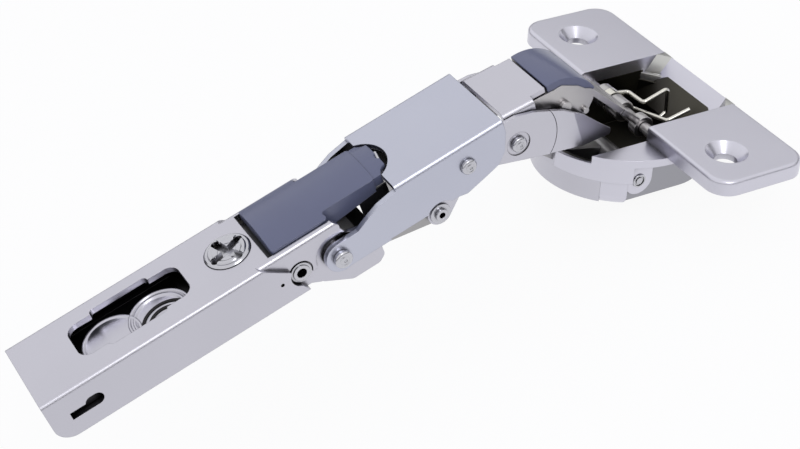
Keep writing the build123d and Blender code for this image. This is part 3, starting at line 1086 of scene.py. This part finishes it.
@dataclass
class CupWalls(Fitting):
    """Walls of the cup: slanted corners at the pocket's back, and the low round front wall."""

    centre: float = -6.0
    front: float = -17.6
    pocket_half: float = 10.9
    corner_at: tuple[float, float, float] = (9.0, 9.7, -1.66)
    corner_size: tuple[float, float, float] = (5.8, 3.2, 3.24)
    corner_slant: tuple[float, float] = (-0.763, -0.647)
    corner_facet: tuple[float, float, float] = (-0.675, -0.54, 0.506)
    slant_u: float = 7.5
    facet_u: float = 9.2
    facet_n: float = -0.9
    slug_radius: float = 17.42
    slug_top: float = -3.2
    slug_foot: float = -7.8
    slug_slant_u: float = 6.4
    slug_past: float = 0.6
    sheet: float = 1.1
    overcut: float = 2.0
    bowl_radius: float = 16.32
    bowl_top: float = -7.9
    bowl_foot: float = -13.0
    lip_radius: float = 17.45
    lip_top: float = -4.65
    lip_foot: float = -8.0
    lip_edges: tuple[float, float] = (-4.2, 0.0)
    pin_at: tuple[float, float, float] = (-10.8, 14.12, -8.9)
    pin_radius: float = 1.35
    pin_rise: float = 0.16
    pin_steps: Steps = (
        (0.12, 0.1), (0.2, 0.0), (0.03, -0.3), (0.28, 0.0), (0.03, 0.28), (0.3, 0.05),
    )

    def build(self) -> None:
        """Make both corners, the heads of the front pin, the front wall and its lip."""
        for word, side in SIDES:
            seat(self._corner(word, side), "cup", self.finishes.corner)
            seat(self._pin_head(word, side), "cup", self.finishes.pin)
        front = (cup_spot(self.front, 0, 0), cup_way(1, 0, 0))
        wall = self._ring("cup_front_wall", self.bowl_radius, self.bowl_top, self.bowl_foot)
        lip = self._ring("cup_front_lip", self.lip_radius, self.lip_top, self.lip_foot)
        low, high = self.lip_edges
        cut_away(wall, front)
        cut_away(
            lip, front, (cup_spot(0, high, 0), cup_way(0, 1, 0)),
            (cup_spot(0, low, 0), cup_way(0, -1, 0)),
        )
        for piece in (wall, lip):
            shade(piece, 35)
            seat(piece, "cup", self.finishes.plate)

    def _corner(self, word: str, side: int) -> Piece:
        """Cut one corner: a block under the flange's face over a slug inside the cup's wall.

        Args:
            word: Which side, in words.
            side: Which side, as a sign.

        Returns:
            The corner.
        """
        u, v, n = self.corner_at
        block = start_block(
            f"pocket_corner_{word}", cup_spot(u, v * side, n), self.corner_size, IN_CUP
        )
        slant = cup_way(self.corner_slant[0], self.corner_slant[1] * side, 0)
        out, across, up = self.corner_facet
        cut_away(
            block,
            (cup_spot(self.slant_u, self.pocket_half * side, 0), slant),
            (
                cup_spot(self.facet_u, self.pocket_half * side, self.facet_n),
                cup_way(out, across * side, up),
            ),
        )
        slug = start_cylinder(
            "slug", cup_spot(self.centre, 0, (self.slug_top + self.slug_foot) / 2),
            self.slug_radius, self.slug_top - self.slug_foot, IN_CUP, 96,
        )
        cut_away(
            slug,
            (cup_spot(self.slug_slant_u, self.pocket_half * side, 0), slant),
            (cup_spot(0, (self.pocket_half + self.slug_past) * side, 0), cup_way(0, side, 0)),
        )
        corner = merge(block.name, block, slug)
        soften(corner, 0.08)
        return corner

    def _ring(self, name: str, radius: float, top: float, foot: float) -> Piece:
        """Carve a ring round the cup's axis.

        Args:
            name: Name of the ring.
            radius: Its outer radius.
            top: Its upper end.
            foot: Its lower end.

        Returns:
            The ring.
        """
        middle = cup_spot(self.centre, 0, (top + foot) / 2)
        ring = start_cylinder(name, middle, radius, top - foot, IN_CUP, 128)
        inner, length = radius - self.sheet, top - foot + self.overcut
        carve(ring, start_cylinder("hollow", middle, inner, length, IN_CUP, 128))
        return ring

    def _pin_head(self, word: str, side: int) -> Piece:
        """Shape the end of the front pin: a ring, a groove and a button.

        Args:
            word: Which side, in words.
            side: Which side, as a sign.

        Returns:
            The head.
        """
        u, v, n = self.pin_at
        head = start_cylinder(
            f"cup_pin_head_{word}", cup_spot(u, v * side, n), self.pin_radius, self.pin_rise,
            ACROSS, 48,
        )
        step_in(head, Vector((0, side, 0)), self.pin_steps)
        soften(head, 0.03, angle=50)
        return head


@dataclass
class CarrierLobes(Fitting):
    """Pressed plate of the inner carrier: a big plain lobe and a double-ridged one."""

    top: float = -3.2
    sheet: float = 0.5
    near_edge: float = -6.4
    # name, centre (x, y), radius, and the ridges and grooves inwards from its edge
    lobes: tuple[tuple, ...] = (
        ("carrier_big_lobe", (16.3, -0.1), 5.6, (
            (0.15, 0.22), (0.3, 0.0), (0.35, -0.22), (0.3, 0.0),
        )),
        ("carrier_small_lobe", (25.4, -1.0), 5.9, (
            (0.15, 0.22), (0.3, 0.0), (0.25, -0.3), (0.2, 0.0), (0.15, 0.28), (0.3, 0.0),
            (0.3, -0.35), (0.3, 0.0),
        )),
    )

    def build(self) -> None:
        """Press both lobes."""
        for name, (x, y), radius, steps in self.lobes:
            middle = spot(x, y, self.top - self.sheet / 2)
            lobe = start_cylinder(name, middle, radius, self.sheet, UPRIGHT, 96)
            step_in(lobe, Vector((0, 0, 1)), steps)
            cut_away(lobe, (spot(0, self.near_edge, 0), Vector((0, -1, 0))))
            soften(lobe, 0.08, angle=30)
            seat(lobe, "carrier", self.finishes.plate)


@dataclass(frozen=True)
class Bar:
    """A small bent or moulded bar, in mm from the arm's tail and top face."""

    name: str
    body: str
    finish: str
    at: tuple[float, float, float]
    size: tuple[float, float, float]
    rounding: float
    turn: tuple[float, float, float] = UPRIGHT


@dataclass
class Bars(Fitting):
    """Small bars of the damper's housing, the levers and the carrier.

    The ledge closes the gap behind the housing, and the skirts hang below its tongue. The tab
    and the liner belong to the outer lever's front. The web and the tail wall line the carrier.
    The last one is a thin lip in front of the web between the inner lever's cheeks. All but the
    tab are nearly black: painted shade in the gaps and channels where they stand.
    """

    bars: tuple[Bar, ...] = (
        Bar("damper_ledge", "arm", "nylon_dark", (45.6, 0, -1.9), (1.9, 11.6, 1.3), 0.2),
        Bar("damper_skirt_near", "arm", "nylon_dark", (67.05, -5.04, -3.7), (5.9, 0.3, 5.4), 0.1),
        Bar("damper_skirt_far", "arm", "nylon_dark", (68.8, 5.04, -3.7), (2.4, 0.3, 5.4), 0.1),
        Bar(
            "outer_lever_tab", "outer_lever", "pin", (71.5, 0.2, 0.35), (0.9, 2.9, 0.7), 0.25,
            (0, 0, math.radians(-12)),
        ),
        Bar(
            "outer_lever_liner", "outer_lever", "shadowed",
            (74.0, 5.1, -3.4), (3.4, 0.3, 6.4), 0.1,
        ),
        Bar("carrier_web", "carrier", "shadowed", (21.5, 0, -4.0), (24.0, 13.2, 0.9), 0.2),
        Bar("carrier_tail_wall", "carrier", "shadowed", (5.4, -7.58, -4.6), (8.4, 0.2, 6.0), 0.05),
        Bar(
            "inner_lever_web", "inner_lever", "shadowed",
            (64.245, 1.05, -11.642), (3.8, 9.3, 0.45), 0.15, (0, math.radians(11.3), 0),
        ),
    )

    def build(self) -> None:
        """Shape each bar, round its edges and seat it."""
        for bar in self.bars:
            block = start_block(bar.name, spot(*bar.at), bar.size, bar.turn)
            soften(block, bar.rounding)
            seat(block, bar.body, getattr(self.finishes, bar.finish))


@dataclass
class Studio:
    """Pale floor, soft lamps and a pale room round the hinge."""

    lowest: float
    floor_half: float = 3.0
    shadow_share: float = 0.07
    room: str = "#FFFFFF"
    key_radiance: float = 3.5
    panel_radiance: float = 0.03
    band_radius: float = 1.5
    band_height: float = 0.28
    aim: tuple[float, float, float] = (0.06, 0, 0)
    # height on the sky from level to overhead, and the room's linear colour there
    sky: tuple[tuple[float, tuple[float, float, float, float]], ...] = (
        (0.0, (0.10, 0.10, 0.10, 1)), (0.30, (0.30, 0.30, 0.32, 1)),
        (0.55, (0.80, 0.81, 0.92, 1)), (0.75, (0.86, 0.87, 1.0, 1)),
    )

    def build(self) -> None:
        """Make the floor, the dark band, the lamps and the world."""
        self._floor()
        self._band()
        self._lamps()
        self._world()
        LOG.info("studio is up, floor at %.1f mm", self.lowest / MM)

    def _floor(self) -> None:
        """Lay a plain floor under the lowest point; the camera sees it nearly white."""
        bpy.ops.mesh.primitive_plane_add(size=2 * self.floor_half, location=(0, 0, self.lowest))
        floor = bpy.context.object
        floor.name = "studio_floor"
        material, tree = empty_material("matt_white_floor")
        seen = add_node(
            tree, "ShaderNodeMath", {"operation": "MULTIPLY"},
            {1: 1 - self.shadow_share}, {0: self._mirrored_or_seen(tree)},
        )
        matt = add_node(tree, "ShaderNodeBsdfDiffuse", values={"Color": (0.9, 0.9, 0.9, 1)})
        glow = add_node(tree, "ShaderNodeEmission", values={"Strength": 1.0})
        mix = add_node(
            tree, "ShaderNodeMixShader",
            links={0: seen.outputs[0], 1: matt.outputs[0], 2: glow.outputs[0]},
        )
        add_node(tree, "ShaderNodeOutputMaterial", links={"Surface": mix.outputs[0]})
        floor.data.materials.append(material)
        floor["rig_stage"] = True

    @staticmethod
    def _mirrored_or_seen(tree: Tree) -> Socket:
        """Give a socket that is 1 for rays of the eye, of a mirror and through glass.

        Args:
            tree: Node tree of the floor or the world.

        Returns:
            Output socket, 0 or 1.
        """
        path = add_node(tree, "ShaderNodeLightPath").outputs
        any_of = path["Is Camera Ray"]
        for name in ("Is Glossy Ray", "Is Transmission Ray"):
            any_of = add_node(
                tree, "ShaderNodeMath", {"operation": "MAXIMUM"}, links={0: any_of, 1: path[name]}
            ).outputs[0]
        return any_of

    def _band(self) -> None:
        """Stand a low dark band round the floor's edge, which metal mirrors as a thin line."""
        bpy.ops.mesh.primitive_cylinder_add(
            vertices=96, radius=self.band_radius, depth=self.band_height, end_fill_type="NOTHING",
            location=(0, 0, self.lowest + self.band_height / 2),
        )
        band = bpy.context.object
        band.name = "studio_dark_band"
        band.visible_camera = False
        band.visible_shadow = False
        material, tree = empty_material("matt_dark_felt")
        felt = add_node(tree, "ShaderNodeBsdfDiffuse", values={"Color": (0.03, 0.03, 0.03, 1)})
        add_node(tree, "ShaderNodeOutputMaterial", links={"Surface": felt.outputs[0]})
        band.data.materials.append(material)
        band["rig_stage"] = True

    def _lamps(self) -> None:
        """Hang a key behind the viewer and a wide pale panel over the far side."""
        self._softbox("key_softbox", (0.26, -0.67, 0.71), 0.38, self.key_radiance)
        self._softbox("sky_panel", (0.24, 0.64, 0.60), 0.9, self.panel_radiance)

    def _softbox(
        self, name: str, at: tuple[float, float, float], side: float, radiance: float
    ) -> None:
        """Add a square area lamp that faces the hinge.

        Args:
            name: Name of the lamp.
            at: Its place in metres.
            side: Side of the square in metres.
            radiance: Brightness of its face, where 1 is white.
        """
        data = bpy.data.lights.new(name, "AREA")
        data.shape = "SQUARE"
        data.size = side
        data.energy = radiance * math.pi * side**2
        lamp = bpy.data.objects.new(name, data)
        lamp.location = at
        lamp.rotation_euler = (Vector(self.aim) - Vector(at)).to_track_quat("-Z", "Y").to_euler()
        bpy.context.scene.collection.objects.link(lamp)

    def _world(self) -> None:
        """White for the eye, a softer room with a darker horizon for the metal to mirror."""
        world = bpy.data.worlds.new("pale_room")
        bpy.context.scene.world = world
        world.use_nodes = True
        tree = world.node_tree
        tree.nodes.clear()
        way = add_node(tree, "ShaderNodeTexCoord").outputs["Generated"]
        split = add_node(tree, "ShaderNodeSeparateXYZ", links={0: way})
        ramp = add_node(tree, "ShaderNodeValToRGB", links={0: split.outputs["Z"]})
        stops = ramp.color_ramp.elements
        stops[0].position, stops[0].color = self.sky[0]
        stops[1].position, stops[1].color = self.sky[-1]
        for height, colour in self.sky[1:-1]:
            stops.new(height).color = colour
        white = add_node(tree, "ShaderNodeBackground", values={"Strength": 1.0})
        white.inputs["Color"].default_value = linear_from_hex(self.room)
        room = add_node(
            tree, "ShaderNodeBackground", values={"Strength": 1.0},
            links={"Color": ramp.outputs["Color"]},
        )
        mix = add_node(
            tree, "ShaderNodeMixShader",
            links={0: self._mirrored_or_seen(tree), 1: room.outputs[0], 2: white.outputs[0]},
        )
        add_node(tree, "ShaderNodeOutputWorld", links={"Surface": mix.outputs[0]})


@dataclass
class ViewPoint:
    """Camera that looks down along the hinge from beside the arm's tail."""

    at_mm: tuple[float, float, float] = (-0.122, -239.636, 210.922)
    right: tuple[float, float, float] = (0.83161537, -0.48480925, -0.27087981)
    down: tuple[float, float, float] = (-0.51931994, -0.50604649, -0.68863906)
    ahead: tuple[float, float, float] = (0.19678081, 0.71335611, -0.67260715)
    lens_mm: float = 83.667
    sensor_mm: float = 36.0

    def build(self) -> None:
        """Create the camera and make it the scene's own."""
        data = bpy.data.cameras.new("viewpoint")
        data.lens = self.lens_mm
        data.sensor_width = self.sensor_mm
        data.clip_start, data.clip_end = 0.01, 20.0
        camera = bpy.data.objects.new("viewpoint", data)
        turn = Matrix((self.right, self.down, self.ahead))
        axes = Matrix((turn[0], -turn[1], -turn[2])).transposed()
        place = Vector(self.at_mm) * MM
        camera.matrix_world = Matrix.Translation(place) @ axes.to_4x4()
        bpy.context.scene.collection.objects.link(camera)
        bpy.context.scene.camera = camera


def main() -> None:
    """Load the frame, dress every part and set the studio."""
    logging.basicConfig(level=logging.INFO, format="%(message)s")
    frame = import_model()
    cad_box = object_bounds()
    finishes = Finishes.make()
    for kind in (
        CarriedParts, PinHeads, ScrewPetals, DamperTongue, CarrierLobes, FrontCap, GooseNeck,
        CupWalls, Bars,
    ):
        kind(finishes, frame["nodes"]).build()
    Studio(cad_box[0].z).build()
    ViewPoint().build()
    bpy.context.scene.view_settings.view_transform = "Standard"


if __name__ == "__main__":
    main()
